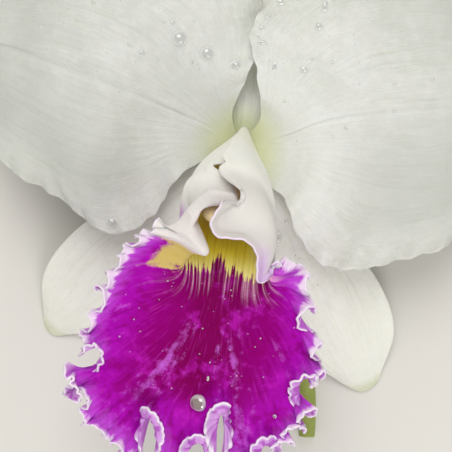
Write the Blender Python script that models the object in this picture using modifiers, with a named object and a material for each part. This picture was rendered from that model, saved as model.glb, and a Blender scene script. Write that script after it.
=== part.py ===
"""A cattleya orchid flower, as picked, lying on its back with its face up.

Metres, +Z up. The flower's heart is where all its pieces join. The dorsal sepal points to +Y, the lip
and the cut stalk to -Y, and the petals to -X and +X. It rests on the tips of its three sepals and on
its stalk. Points are written in millimetres from the heart.
"""

import math

import bmesh
import bpy
import numpy as np
from mathutils import Vector

MM = 0.001

# Where the heart stands: the box of the whole flower is centred on the origin, and stands on z = 0.
HEART = Vector((0.0, 3.478, 18.9)) * MM

# Thickness of the living tissue.
PETAL_THICKNESS = 0.7 * MM
SEPAL_THICKNESS = 1.0 * MM
LIP_THICKNESS = 0.6 * MM

# The lip's tube leans out of the flower's face towards -Y, and widens to its mouth. Its roof is
# pointed like a keel, and its right side lobe is lifted so that it laps over the left one.
TUBE_TILT = math.radians(35.0)
TUBE_SWAY = -2.0
TUBE_MOUTH_RADIUS = 12.2
TUBE_NARROWING = 9.0
TUBE_WIDENING = 12.0
TUBE_LENGTH = 30.0
FLOOR_EXTRA_LENGTH = 4.0
FLOOR_RISE = 3.5
LIP_OVERLAP_LIFT = 1.3
LIP_RUFFLES = 15
LIP_RUFFLE_HEIGHT = 1.9
LIP_ROWS = 20

# The column stands along the top of the tube.
COLUMN_RADIUS = 1.9
COLUMN_TIP_RADIUS = 3.9
COLUMN_FLATTENING = 0.8
CAP_RADIUS = 3.0
CAP_THICKNESS = 0.5 * MM
POLLINIUM_SIZE = (0.62, 0.45, 0.85)

# The stalk lies on the surface beneath the flower.
OVARY_RADIUS = 3.3
PEDICEL_RADIUS = 2.3


def clear_scene():
    for obj in list(bpy.data.objects):
        bpy.data.objects.remove(obj, do_unlink=True)


def make_collection():
    collection = bpy.data.collections.new("cattleya_orchid_flower")
    bpy.context.scene.collection.children.link(collection)
    return collection


def make_material(name, color, roughness):
    material = bpy.data.materials.new(name)
    material.use_nodes = True
    shader = material.node_tree.nodes["Principled BSDF"]
    shader.inputs["Base Color"].default_value = (*color, 1.0)
    shader.inputs["Roughness"].default_value = roughness
    shader.inputs["Metallic"].default_value = 0.0
    return material


def add_mesh_object(collection, name, bm, material):
    """Turns a bmesh in millimetres from the heart into a smooth named object."""
    mesh = bpy.data.meshes.new(name)
    bm.to_mesh(mesh)
    bm.free()
    mesh.materials.append(material)
    mesh.shade_smooth()
    obj = bpy.data.objects.new(name, mesh)
    obj.location = HEART
    collection.objects.link(obj)
    return obj


def thicken(obj, thickness):
    solidify = obj.modifiers.new("Tissue", "SOLIDIFY")
    solidify.thickness = thickness
    solidify.offset = 0.0


def through(points, t):
    """A smooth curve through the points; t runs from 0 at the first to 1 at the last."""
    pts = np.asarray(points, float)
    last = len(pts) - 1
    place = min(max(t, 0.0), 1.0) * last
    i = min(int(place), last - 1)
    f = place - i
    p1, p2 = pts[i], pts[i + 1]
    p0 = pts[i - 1] if i > 0 else 2.0 * p1 - p2
    p3 = pts[i + 2] if i + 2 <= last else 2.0 * p2 - p1
    return 0.5 * (
        2.0 * p1
        + (p2 - p0) * f
        + (2.0 * p0 - 5.0 * p1 + 4.0 * p2 - p3) * f**2
        + (3.0 * p1 - p0 - 3.0 * p2 + p3) * f**3
    )


def ease(x):
    x = min(max(x, 0.0), 1.0)
    return x * x * (3.0 - 2.0 * x)


# ---------------------------------------------------------------- sepals and petals


def add_blade(collection, name, material, midrib, upper, lower, grid, thickness, waves, wave_height):
    """A sepal or petal: a sheet bowed from one margin over its midrib to the other, with a wavy edge."""
    bm = bmesh.new()
    bmesh.ops.create_grid(bm, x_segments=grid[0], y_segments=grid[1], size=1.0)
    for vert in bm.verts:
        u = (vert.co.x + 1.0) / 2.0
        v = vert.co.y
        middle = through(midrib, u)
        one = through(upper, u)
        other = through(lower, u)
        point = middle + v * (one - other) / 2.0 + v * v * ((one + other) / 2.0 - middle)
        edge = ease(u / 0.3) * abs(v) ** 5
        point[2] += wave_height * edge * math.sin(2.0 * math.pi * waves * u + 1.3 * np.sign(v))
        vert.co = Vector(point) * MM
    obj = add_mesh_object(collection, name, bm, material)
    thicken(obj, thickness)


def add_petals(collection):
    white = make_material("petal_white", (0.84, 0.85, 0.80), 0.55)
    sheet = {"grid": (24, 14), "thickness": PETAL_THICKNESS, "waves": 5, "wave_height": 1.3}
    add_blade(
        collection,
        "petal_left",
        white,
        midrib=[(-4.2, 1.2, -0.6), (-9, 3.7, 0.4), (-20.5, 7.2, 4.5), (-34, 10.4, 8.5),
                (-50, 14.2, 9), (-66.5, 17.8, 5), (-82.5, 20.5, -2)],
        upper=[(-3.4, 3.2, -0.6), (-4.4, 9.5, 1), (-1.6, 20, 4.5), (1.0, 34, 5), (-8, 48, 5),
               (-38, 53.5, 5), (-62, 46, 2), (-78, 30, -2)],
        lower=[(-4.8, -0.6, -0.6), (-10, -4.5, 0), (-16.5, -10.5, 3), (-21.5, -21.5, 5),
               (-31.5, -27.5, 6), (-47, -20.5, 6), (-65, -10, 3), (-78.5, 8, -2)],
        **sheet,
    )
    add_blade(
        collection,
        "petal_right",
        white,
        midrib=[(4.2, 1.0, -0.6), (8.5, 3.9, 0.4), (19, 9.2, 4.5), (32, 13.3, 8.5), (49, 17.3, 9),
                (66.5, 20.5, 5), (82.5, 22.5, -2)],
        upper=[(3.4, 3.0, -0.6), (2.9, 9.5, 3), (0.2, 20, 8), (-2.0, 32, 10.5), (9, 46, 10.5),
               (36, 54.5, 7), (62, 48, 2), (78, 32, -2)],
        lower=[(4.8, -0.8, -0.6), (9.5, -5.5, 0), (13, -12, 3), (17.5, -21.5, 5), (27, -28.5, 6),
               (47, -23.5, 6), (66, -10, 3), (78.5, 10, -2)],
        **sheet,
    )


def add_sepals(collection):
    cream = make_material("sepal_cream", (0.80, 0.82, 0.68), 0.55)
    sheet = {"grid": (20, 8), "thickness": SEPAL_THICKNESS, "waves": 3, "wave_height": 0.3}
    add_blade(
        collection,
        "dorsal_sepal",
        cream,
        midrib=[(0, 4.6, -2.8), (0.2, 14, -2.6), (0.5, 32, -3.5), (0.8, 50, -7), (1.1, 65, -12.5),
                (1.3, 77.5, -18.4)],
        upper=[(-2.4, 4.6, -2.9), (-7, 14, -3.4), (-12.5, 32, -5.5), (-12.5, 50, -9.5),
               (-8.5, 64, -14), (-2, 76.3, -18.2)],
        lower=[(2.4, 4.6, -2.9), (7, 14, -3.4), (13.5, 32, -5.5), (14, 50, -9.5),
               (10.5, 64, -14), (4.6, 76.3, -18.2)],
        **sheet,
    )
    add_blade(
        collection,
        "lateral_sepal_left",
        cream,
        midrib=[(-2.9, -3.7, -2.8), (-8.7, -11, -3.2), (-19.8, -25.1, -5), (-31, -39.2, -8.5),
                (-39.8, -50.3, -13), (-47.2, -58.8, -18.4)],
        upper=[(-4.9, -2.2, -2.9), (-13.4, -7.3, -4), (-30, -17, -6.5), (-43.7, -29.3, -9.5),
               (-50.6, -42, -13.5), (-49.4, -55.8, -18.2)],
        lower=[(-1.1, -5.2, -2.9), (-4, -14.7, -4), (-9.6, -33.1, -6.5), (-19.2, -48.5, -10),
               (-32.3, -55.2, -14.5), (-43.6, -58.4, -18.2)],
        **sheet,
    )
    add_blade(
        collection,
        "lateral_sepal_right",
        cream,
        midrib=[(2.7, -3.9, -2.8), (8, -11.5, -3.2), (18.2, -26.3, -5), (28.5, -41.1, -8.5),
                (36.6, -52.7, -13), (44.2, -62.4, -18.4)],
        upper=[(4.7, -2.6, -2.9), (12.9, -8.1, -4), (29.3, -18.6, -6.5), (42.6, -31.4, -9.5),
               (49.1, -44.3, -13.5), (47.2, -59, -18.2)],
        lower=[(0.8, -5.2, -2.9), (3, -14.9, -4), (7.5, -33.7, -6.5), (16.2, -49.6, -10),
               (28.6, -57.2, -14.5), (40.2, -62.2, -18.2)],
        **sheet,
    )


# ---------------------------------------------------------------- lip


def tube_point(turn, t, lift, narrow=1.0, keel=0.0):
    """A point of the tube's wall, t millimetres from the heart; turn 0 is its floor."""
    centre = np.array([TUBE_SWAY * (1.0 - math.exp(-t / 3.0)), 0.0, 0.0])
    centre += t * np.array([0.0, -math.sin(TUBE_TILT), math.cos(TUBE_TILT)])
    radius = TUBE_MOUTH_RADIUS - TUBE_NARROWING * math.exp(-t / TUBE_WIDENING) + lift
    down = np.array([0.0, -math.cos(TUBE_TILT), -math.sin(TUBE_TILT)])
    side = np.array([1.0, 0.0, 0.0])
    roof = max(-math.cos(turn), 0.0)
    wide = narrow * (1.0 - keel * roof) * math.sin(turn)
    tall = (1.0 - 0.4 * keel * roof) * math.cos(turn)
    return centre + radius * (wide * side + tall * down)


# Ribs of the lip, from the left side lobe at the seam, round by the front lobe, to the right side
# lobe, which laps over the left one. Each has its turn round the tube in degrees, and then its
# crest at the mouth, its middle and its free rim. Columns is how finely the sheet is cut from each
# rib to the next.
LIP_RIBS = [
    (-177, (0.6, -16.0, 36.2), (-0.6, -14.0, 37.6), (-3.2, -12.2, 37.0)),
    (-162, (-4.2, -16.4, 37.0), (-5.6, -14.4, 37.8), (-7.4, -12.4, 36.4)),
    (-146, (-7.8, -18.2, 37.0), (-9.2, -16.6, 37.2), (-10.6, -14.8, 35.2)),
    (-131, (-9.4, -21.2, 36.4), (-11.4, -20.0, 36.2), (-13.0, -18.8, 33.8)),
    (-118, (-8.8, -24.2, 35.8), (-12.6, -23.4, 35.4), (-16.2, -22.6, 32.6)),
    (-108, (-5.2, -28.2, 35.2), (-12.0, -26.2, 34.6), (-20.0, -24.0, 31.6)),
    (-100, (-8.6, -28.6, 32.6), (-14.8, -27.0, 32.2), (-23.5, -26.6, 30.8)),
    (-90, (-10.4, -31.0, 31.0), (-17.6, -31.0, 30.8), (-28.4, -34.2, 29.6)),
    (-76, (-11.2, -34.0, 30.4), (-20.0, -37.8, 30.6), (-31.4, -43.4, 28.6)),
    (-58, (-10.2, -37.4, 30.0), (-19.4, -46.0, 30.4), (-33.4, -55.2, 27.6)),
    (-36, (-7.8, -40.8, 29.8), (-16.5, -55.5, 30.0), (-33.0, -71.0, 26.0)),
    (-14, (-4.5, -42.5, 29.5), (-8.5, -61.0, 29.5), (-16.5, -82.0, 24.5)),
    (12, (0.5, -42.5, 29.5), (1.5, -62.0, 29.5), (4.5, -84.0, 24.0)),
    (38, (5.5, -40.5, 30.0), (11.5, -55.0, 30.0), (21.5, -73.5, 26.0)),
    (62, (8.8, -36.5, 30.8), (16.0, -45.0, 30.8), (26.0, -57.5, 28.0)),
    (82, (10.3, -33.0, 31.6), (16.0, -36.5, 31.6), (22.8, -42.0, 29.8)),
    (96, (10.4, -29.4, 31.8), (14.0, -31.2, 32.2), (18.8, -30.4, 30.8)),
    (106, (10.6, -26.0, 32.0), (12.4, -27.6, 32.4), (15.2, -27.0, 31.8)),
    (114, (10.6, -23.6, 32.4), (11.4, -26.4, 33.4), (12.8, -28.0, 33.6)),
    (122, (10.5, -22.8, 33.0), (10.5, -27.2, 34.6), (9.8, -31.0, 34.4)),
    (130, (10.3, -21.8, 33.8), (9.6, -27.0, 35.6), (6.6, -31.8, 34.6)),
    (140, (10.0, -21.4, 35.0), (8.8, -25.4, 36.8), (5.2, -26.4, 36.2)),
    (151, (8.6, -17.8, 36.5), (7.0, -22.0, 38.4), (2.2, -23.9, 37.8)),
    (163, (5.5, -14.0, 37.5), (3.0, -18.6, 39.8), (-3.9, -24.3, 38.6)),
    (174, (1.8, -12.2, 38.0), (-0.4, -17.0, 40.3), (-5.8, -21.8, 39.0)),
    (184, (-1.2, -10.6, 38.8), (-1.4, -14.2, 40.2), (-4.2, -18.4, 39.6)),
    (190, (-2.2, -9.8, 38.4), (-2.6, -12.4, 39.6), (-4.0, -15.4, 39.8)),
]
FIRST_FRONT_RIB, LAST_FRONT_RIB = 6, 16
SIDE_COLUMNS, FRONT_COLUMNS = 3, 8


def lip_places():
    """Where the sheet's columns stand, counted in ribs from the first one."""
    places = [0.0]
    for rib in range(len(LIP_RIBS) - 1):
        in_front = FIRST_FRONT_RIB <= rib < LAST_FRONT_RIB
        count = FRONT_COLUMNS if in_front else SIDE_COLUMNS
        places += [rib + (k + 1) / count for k in range(count)]
    return places


def lip_column(place):
    """The points of one column of the lip, from its root to its rim."""
    table = [[turn, *crest, *middle, *rim] for turn, crest, middle, rim in LIP_RIBS]
    rib = through(table, place / (len(LIP_RIBS) - 1))
    turn = math.radians(rib[0])
    lift = LIP_OVERLAP_LIFT * ease((rib[0] - 120.0) / 50.0)
    floor = (1.0 + math.cos(turn)) / 2.0
    ahead = np.array([0.0, -math.sin(TUBE_TILT), math.cos(TUBE_TILT)])
    root = tube_point(turn, 1.0, 0.8 * lift, 0.9, 0.3) + (1.0 - floor) * np.array([0.0, 3.0, 0.6])
    low = tube_point(turn, 10.0, lift, 1.0, 0.45)
    high = tube_point(turn, 20.0, lift, 1.0, 0.3)
    mouth = tube_point(turn, TUBE_LENGTH, lift) + FLOOR_EXTRA_LENGTH * floor * ahead
    high[2] += 1.5 * floor
    mouth[2] += FLOOR_RISE * floor
    rings = [root, low, high, mouth, rib[1:4], rib[4:7], rib[7:10]]
    share = (place - FIRST_FRONT_RIB) / (LAST_FRONT_RIB - FIRST_FRONT_RIB)
    calm_ends = ease(share / 0.1) * ease((1.0 - share) / 0.1)
    wave = LIP_RUFFLE_HEIGHT * calm_ends * math.sin(2.0 * math.pi * LIP_RUFFLES * share)
    points = []
    for s in np.linspace(0.0, 1.0, LIP_ROWS):
        point = through(rings, s)
        point[2] += wave * ease((s - 0.84) / 0.16)
        points.append(Vector(point) * MM)
    return points


def add_lip(collection):
    purple = make_material("lip_purple", (0.36, 0.01, 0.27), 0.5)
    bm = bmesh.new()
    sheet = [[bm.verts.new(point) for point in lip_column(place)] for place in lip_places()]
    for one, other in zip(sheet[:-1], sheet[1:]):
        for row in range(LIP_ROWS - 1):
            bm.faces.new([one[row], other[row], other[row + 1], one[row + 1]])
    obj = add_mesh_object(collection, "lip", bm, purple)
    thicken(obj, LIP_THICKNESS)


# ---------------------------------------------------------------- column, cap and pollinia


def column_middle(t):
    """The column's own axis: it starts behind the heart, and keeps to the top of the tube."""
    return through([(0, 1.0, -2.4), (-0.8, -2.5, 8.4), (-2.6, -9.4, 19.8), (-5.1, -18.2, 31.6)], t)


def add_column(collection):
    ivory = make_material("column_ivory", (0.85, 0.80, 0.68), 0.45)
    bm = bmesh.new()
    bmesh.ops.create_uvsphere(bm, u_segments=20, v_segments=16, radius=1.0)
    up = np.array([0.0, math.cos(TUBE_TILT), math.sin(TUBE_TILT)])
    for vert in bm.verts:
        t = (vert.co.z + 1.0) / 2.0
        radius = COLUMN_RADIUS + (COLUMN_TIP_RADIUS - COLUMN_RADIUS) * ease(t)
        radius *= (1.0 - (2.0 * t - 1.0) ** 8) ** 0.5
        ring = max(math.hypot(vert.co.x, vert.co.y), 1e-6)
        point = column_middle(t) + COLUMN_FLATTENING * radius * vert.co.y / ring * up
        point[0] += radius * vert.co.x / ring
        vert.co = Vector(point) * MM
    add_mesh_object(collection, "column", bm, ivory)


def cap_frame():
    """The middle of the cap's open face, and the three directions it is built along."""
    ahead = np.array([0.0, -math.sin(TUBE_TILT), math.cos(TUBE_TILT)])
    up = np.array([0.0, math.cos(TUBE_TILT), math.sin(TUBE_TILT)])
    side = np.array([1.0, 0.0, 0.0])
    return column_middle(1.0) + 0.45 * ahead, side, up, ahead


def add_anther_cap(collection):
    pale = make_material("cap_pale", (0.86, 0.83, 0.74), 0.4)
    middle, side, up, ahead = cap_frame()
    bm = bmesh.new()
    bmesh.ops.create_uvsphere(bm, u_segments=20, v_segments=12, radius=CAP_RADIUS)
    below = [vert for vert in bm.verts if vert.co.z < -0.01]
    bmesh.ops.delete(bm, geom=below, context="VERTS")
    for vert in bm.verts:
        x, y, z = vert.co
        vert.co = Vector(middle + x * side + 0.85 * y * up + z * ahead) * MM
    obj = add_mesh_object(collection, "anther_cap", bm, pale)
    thicken(obj, CAP_THICKNESS)
    obj.modifiers["Tissue"].offset = -1.0


def add_pollinia(collection):
    yellow = make_material("pollen_yellow", (0.85, 0.62, 0.12), 0.35)
    middle, side, up, ahead = cap_frame()
    spots = [(-0.85, 0.62), (0.85, 0.62), (-0.85, -0.62), (0.85, -0.62)]
    for number, (right, high) in enumerate(spots, 1):
        centre = middle + right * side + high * up + 0.95 * ahead
        bm = bmesh.new()
        bmesh.ops.create_uvsphere(bm, u_segments=10, v_segments=8, radius=1.0)
        for vert in bm.verts:
            x, y, z = (c * size for c, size in zip(vert.co, POLLINIUM_SIZE))
            vert.co = Vector(centre + x * side + y * up + z * ahead) * MM
        add_mesh_object(collection, f"pollinium_{number}", bm, yellow)


# ---------------------------------------------------------------- ovary and stalk


def add_stalk(collection):
    """The ovary bends down behind the flower, and its stalk lies along the surface to its cut end."""
    green = make_material("stalk_green", (0.33, 0.40, 0.13), 0.5)
    bed = PEDICEL_RADIUS - HEART.z / MM + 0.03
    route = [
        ((0, 0.2, -4.2), OVARY_RADIUS),
        ((0.2, -2.2, -8.5), OVARY_RADIUS),
        ((1, -8.5, -12.6), OVARY_RADIUS),
        ((2.4, -18, -15), 3.0),
        ((5, -29, bed + 0.3), 2.6),
        ((11, -41, bed), PEDICEL_RADIUS),
        ((19.5, -52, bed), PEDICEL_RADIUS),
        ((26.2, -61, bed), PEDICEL_RADIUS),
        ((28.3, -69, bed), PEDICEL_RADIUS),
        ((29.2, -77.5, bed), PEDICEL_RADIUS),
    ]
    points = [point for point, _ in route]
    radii = [(radius,) for _, radius in route]
    curve = bpy.data.curves.new("ovary_and_pedicel", "CURVE")
    curve.dimensions = "3D"
    curve.bevel_depth = MM
    curve.bevel_resolution = 3
    curve.use_fill_caps = True
    spline = curve.splines.new("POLY")
    count = 34
    spline.points.add(count - 1)
    for i in range(count):
        t = i / (count - 1)
        spline.points[i].co = (*(through(points, t) * MM), 1.0)
        spline.points[i].radius = through(radii, t)[0]
    spline.use_smooth = True
    curve.materials.append(green)
    obj = bpy.data.objects.new("ovary_and_pedicel", curve)
    obj.location = HEART
    collection.objects.link(obj)


clear_scene()
flower = make_collection()
add_petals(flower)
add_sepals(flower)
add_lip(flower)
add_column(flower)
add_anther_cap(flower)
add_pollinia(flower)
add_stalk(flower)
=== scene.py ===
"""A cattleya orchid flower, picked and laid on its back, with its living surfaces built round the
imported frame.

Points are in millimetres from the flower's heart, where all its pieces join. +Z runs out of the
flower's face, +Y to the dorsal sepal, and -Y to the lip. The file follows the flower from its stalk
outwards: stalk, sepals, petals, lip, column, pollen, and the rain that stands on it.
"""

import math

import bpy
import numpy as np
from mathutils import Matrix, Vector


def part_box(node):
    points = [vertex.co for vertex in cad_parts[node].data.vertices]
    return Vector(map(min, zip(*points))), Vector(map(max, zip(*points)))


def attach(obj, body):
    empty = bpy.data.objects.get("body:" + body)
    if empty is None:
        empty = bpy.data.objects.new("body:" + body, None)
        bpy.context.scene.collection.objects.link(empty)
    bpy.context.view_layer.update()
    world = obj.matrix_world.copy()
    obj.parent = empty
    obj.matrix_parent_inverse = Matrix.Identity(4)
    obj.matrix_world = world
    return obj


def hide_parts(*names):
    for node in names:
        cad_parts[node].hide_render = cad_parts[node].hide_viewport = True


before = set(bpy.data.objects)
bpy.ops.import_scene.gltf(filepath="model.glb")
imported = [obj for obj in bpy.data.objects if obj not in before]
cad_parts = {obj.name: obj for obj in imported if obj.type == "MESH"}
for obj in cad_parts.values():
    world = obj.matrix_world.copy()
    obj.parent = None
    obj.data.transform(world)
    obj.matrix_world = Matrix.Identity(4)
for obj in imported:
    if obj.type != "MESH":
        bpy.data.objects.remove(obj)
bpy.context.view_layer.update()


# ---------------------------------------------------------------- ovary and stalk
# The green ovary and its stalk grew as one piece. The ovary has six low ribs, bends down behind the
# flower and thins to a smooth stalk that lies along the surface, ending in a fresh, wet cut.

MM = 0.001
# How far to the heart's dorsal side the dorsal sepal starts, and how far behind it the column does.
DORSAL_START = 4.583
COLUMN_ROOT = 2.42
HEART = np.array(
    [
        (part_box("petal_left")[0].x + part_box("petal_right")[1].x) / 2.0 / MM,
        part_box("dorsal_sepal")[0].y / MM - DORSAL_START,
        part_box("column")[0].z / MM + COLUMN_ROOT,
    ]
)
GROUND = -HEART[2]
OVARY_RADIUS = 3.3
STALK_RADIUS = 2.3
STALK_BED = STALK_RADIUS + GROUND
STALK_LINE = [
    (0, 0.2, -4.2), (0.2, -2.2, -8.5), (1, -8.5, -12.6), (2.4, -18, -15), (5, -29, STALK_BED + 0.3),
    (11, -41, STALK_BED), (19.5, -52, STALK_BED), (26.2, -61, STALK_BED), (28.3, -69, STALK_BED),
    (29.2, -77.5, STALK_BED),
]
STALK_RADII = [(radius,) for radius in 3 * [OVARY_RADIUS] + [3.0, 2.6] + 5 * [STALK_RADIUS]]
OVARY_RIBS = 6.0
# Rings that close each end, as shares of its radius.
END_RINGS = (0.93, 0.5, 0.12)


def through(points, t):
    """A smooth line, or a sheet of lines, through the points at places t from 0 to 1."""
    pts = np.asarray(points, float)
    pts = np.concatenate([2 * pts[:1] - pts[1:2], pts, 2 * pts[-1:] - pts[-2:-1]])
    place = np.clip(t, 0.0, 1.0) * (len(pts) - 3)
    i = np.minimum(place.astype(int), len(pts) - 4)
    f = (place - i).reshape(-1, *[1] * (pts.ndim - 1))
    p0, p1, p2, p3 = (pts[i + k] for k in range(4))
    return 0.5 * (
        2 * p1
        + (p2 - p0) * f
        + (2 * p0 - 5 * p1 + 4 * p2 - p3) * f**2
        + (3 * p1 - p0 - 3 * p2 + p3) * f**3
    )


def unit(vectors):
    return vectors / np.maximum(np.linalg.norm(vectors, axis=-1, keepdims=True), 1e-9)


def ease(x, low, high):
    """0 below low, 1 above high, and a soft step between them."""
    x = np.clip((x - low) / (high - low), 0.0, 1.0)
    return x * x * (3.0 - 2.0 * x)


def lengths_along(points):
    """How far each point is along its line, or each row of points along its sheet."""
    steps = np.linalg.norm(np.diff(points, axis=0), axis=-1)
    return np.concatenate([np.zeros_like(steps[:1]), np.cumsum(steps, axis=0)])


def bell(x, width):
    return np.exp(-((x / width) ** 2))


def make_piece(name, points, faces, measures, nodes):
    """A smooth mesh from points in millimetres, with a measure at each point for its material."""
    mesh = bpy.data.meshes.new(name)
    mesh.from_pydata((np.asarray(points, float) + HEART) * MM, [], faces)
    for label, values in measures.items():
        layer = mesh.attributes.new(label, "FLOAT", "POINT")
        layer.data.foreach_set("value", np.ravel(values).astype(np.float32))
    mesh.shade_smooth()
    piece = bpy.data.objects.new(name, mesh)
    bpy.context.scene.collection.objects.link(piece)
    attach(piece, "root")
    if nodes:
        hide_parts(*nodes)
    return piece


def grid_faces(rows, columns, closed=False):
    """Faces of a grid of points kept row by row; a closed grid joins its last column to its first."""
    across = columns if closed else columns - 1
    r, c = np.meshgrid(np.arange(rows - 1), np.arange(across), indexing="ij")
    r, c = r.ravel(), c.ravel()
    d = (c + 1) % columns
    this_row, next_row = r * columns, (r + 1) * columns
    return np.stack([this_row + c, this_row + d, next_row + d, next_row + c], 1).tolist()


def linear(code, alpha=1.0):
    """An sRGB hex colour, such as "#8FA04A", as the linear colour that a shader takes."""
    parts = [int(code[i : i + 2], 16) / 255.0 for i in (1, 3, 5)]
    return (*[p / 12.92 if p <= 0.04045 else ((p + 0.055) / 1.055) ** 2.4 for p in parts], alpha)


def add_node(tree, kind, settings, inputs, output=0):
    """Adds a node and gives one of its outputs. An input takes a value, or another node's output."""
    node = tree.nodes.new(kind)
    for name, value in settings.items():
        setattr(node, name, value)
    for name, value in inputs.items():
        if isinstance(value, bpy.types.NodeSocket):
            tree.links.new(value, node.inputs[name])
        else:
            node.inputs[name].default_value = value
    return node.outputs[output]


def start_material(name, *labels):
    """A new material with its tree and shader, and then the mesh's measures that it follows."""
    material = bpy.data.materials.new(name)
    material.use_nodes = True
    tree = material.node_tree
    measures = [
        add_node(tree, "ShaderNodeAttribute", {"attribute_name": label}, {}, "Fac") for label in labels
    ]
    return material, tree, tree.nodes["Principled BSDF"], *measures


def mottled(tree, size_mm, detail=2.0, roughness=0.5):
    """Clouds that run through the piece, about this many millimetres apart."""
    place = add_node(tree, "ShaderNodeTexCoord", {}, {}, "Object")
    scale = 1.0 / (size_mm * MM)
    inputs = {"Vector": place, "Scale": scale, "Detail": detail, "Roughness": roughness}
    return add_node(tree, "ShaderNodeTexNoise", {}, inputs, "Fac")


def weigh(tree, start, *patterns):
    """Starts from a value and adds each pattern to it, times its weight."""
    total = start
    for pattern, weight in patterns:
        inputs = {0: pattern, 1: weight, 2: total}
        total = add_node(tree, "ShaderNodeMath", {"operation": "MULTIPLY_ADD"}, inputs)
    return total


def streaked(tree, across, width, along, length_mm, detail=2.0):
    """Streaks about this wide in the measure across them, and this long along them."""
    x = weigh(tree, 0.0, (across, 1.0 / width))
    y = weigh(tree, 0.0, (along, 1.0 / length_mm))
    place = add_node(tree, "ShaderNodeCombineXYZ", {}, {"X": x, "Y": y})
    inputs = {"Vector": place, "Scale": 1.0, "Detail": detail, "Roughness": 0.5}
    return add_node(tree, "ShaderNodeTexNoise", {}, inputs, "Fac")


def where(tree, *places):
    """The product of its places. Each is a pattern, or a value with its soft range: nothing where the
    value is low, and up to top, or else to 1, where it is high."""
    amount = None
    for place in places:
        if isinstance(place, tuple):
            value, low, high, top = (*place, 1.0)[:4]
            inputs = {"Value": value, "From Min": low, "From Max": high, "To Max": top}
            settings = {"interpolation_type": "SMOOTHSTEP"}
            place = add_node(tree, "ShaderNodeMapRange", settings, inputs)
        if amount is None:
            amount = place
        else:
            inputs = {0: amount, 1: place}
            amount = add_node(tree, "ShaderNodeMath", {"operation": "MULTIPLY"}, inputs)
    return amount


def paint(tree, base, *layers):
    """Lays colours over the base one. Each layer is a colour, and then the places where it shows."""
    base = linear(base)
    for colour, *places in layers:
        colour = linear(colour) if isinstance(colour, str) else colour
        inputs = {0: where(tree, *places), 6: base, 7: colour}
        base = add_node(tree, "ShaderNodeMix", {"data_type": "RGBA"}, inputs, 2)
    return base


def relief(tree, *heights):
    """A bumpy normal, from pairs of a height and its depth in millimetres."""
    normal = None
    for height, depth in heights:
        inputs = {"Height": height, "Strength": 1.0, "Distance": depth * MM}
        if normal is not None:
            inputs["Normal"] = normal
        normal = add_node(tree, "ShaderNodeBump", {}, inputs)
    return normal


def finish_material(tree, shader, colour, normal, roughness, clear, glow, glow_tint):
    """Wires the shader up. Clear is the share of light that passes through the tissue, and glow is
    how far it spreads there in millimetres."""
    tree.links.new(colour, shader.inputs["Base Color"])
    tree.links.new(normal, shader.inputs["Normal"])
    shader.inputs["Roughness"].default_value = roughness
    shader.inputs["IOR"].default_value = 1.4
    shader.inputs["Subsurface Weight"].default_value = clear
    shader.inputs["Subsurface Radius"].default_value = glow_tint
    shader.inputs["Subsurface Scale"].default_value = glow * MM


# Stalk skin: smooth plant epidermis with a thin wax. It gives the eye a soft gloss over mottled
# yellow-green, and a paler wet face where the blade went through. Its pores are about 0.05 mm
# apart, and are drawn at 0.4 mm so that they show.
def make_stalk_skin():
    material, tree, shader, from_heart, cut = start_material("stalk_skin", "from_heart", "cut")
    blotches = mottled(tree, 2.857, 4.0)
    pores = mottled(tree, 0.4)
    colour = paint(
        tree,
        "#7E8B3C",
        ("#9DA75A", blotches),
        ("#C3CE86", (from_heart, 0.2737, 0.0)),
        ("#C9CF9C", cut),
    )
    normal = relief(tree, (blotches, 0.1), (pores, 0.03))
    finish = {"roughness": 0.42, "clear": 0.2, "glow": 2.0, "glow_tint": (0.6, 0.9, 0.3)}
    finish_material(tree, shader, colour, normal, **finish)
    return material


def build_stalk():
    rings, sides = 220, 48
    t = np.linspace(0.0, 1.0, rings)
    line = through(STALK_LINE, t)
    radius = through(STALK_RADII, t)[:, 0]
    ahead = unit(np.gradient(line, axis=0))
    side = unit(np.cross(ahead, [0.0, 0.0, 1.0]) + np.array([1e-3, 0.0, 0.0]))
    side[: rings // 8] = unit(side[: rings // 8] * t[: rings // 8, None] + np.array([0.05, 0, 0]))
    over = np.cross(side, ahead)
    turn = np.linspace(0.0, 2.0 * np.pi, sides, endpoint=False)
    ribs = 0.16 * (1.0 - ease(t, 0.2, 0.45))[:, None] * np.cos(OVARY_RIBS * turn)[None, :]
    bent = 0.05 * np.sin(19.0 * t + 0.4)[:, None] * np.cos(turn + 1.0)[None, :]
    reach = radius[:, None] * (1.0 + ribs * 0.35) + bent
    points = (
        line[:, None, :]
        + reach[..., None] * np.cos(turn)[None, :, None] * side[:, None, :]
        + reach[..., None] * np.sin(turn)[None, :, None] * over[:, None, :]
    )
    faces = grid_faces(rings, sides, closed=True)
    points = points.reshape(-1, 3)
    # Its own weight flattens it a hair's breadth where it lies.
    points[:, 2] = np.maximum(points[:, 2], GROUND)
    from_heart = np.repeat(t, sides)
    cut = np.zeros(len(points))
    for row, centre_pull in ((0, 0.0), (rings - 1, -0.25)):
        inner = []
        for share in END_RINGS:
            ring = line[row] + (points[row * sides : (row + 1) * sides] - line[row]) * share
            ring = ring + ahead[row] * centre_pull * (1.0 - share)
            inner.append(ring)
        start = len(points)
        points = np.concatenate([points, *inner])
        from_heart = np.concatenate([from_heart, np.full(len(inner) * sides, t[row])])
        cut = np.concatenate([cut, np.full(len(inner) * sides, float(row > 0))])
        for k in range(len(inner)):
            outer = row * sides if k == 0 else start + (k - 1) * sides
            inside = start + k * sides
            for c in range(sides):
                d = (c + 1) % sides
                quad = [outer + c, outer + d, inside + d, inside + c]
                faces.append(quad if row else quad[::-1])
        last = [start + (len(inner) - 1) * sides + c for c in range(sides)]
        faces.append(last if row else last[::-1])
    measures = {"from_heart": from_heart, "cut": cut}
    piece = make_piece("stalk", points, faces, measures, ["ovary_and_pedicel"])
    piece.data.materials.append(make_stalk_skin())


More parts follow.
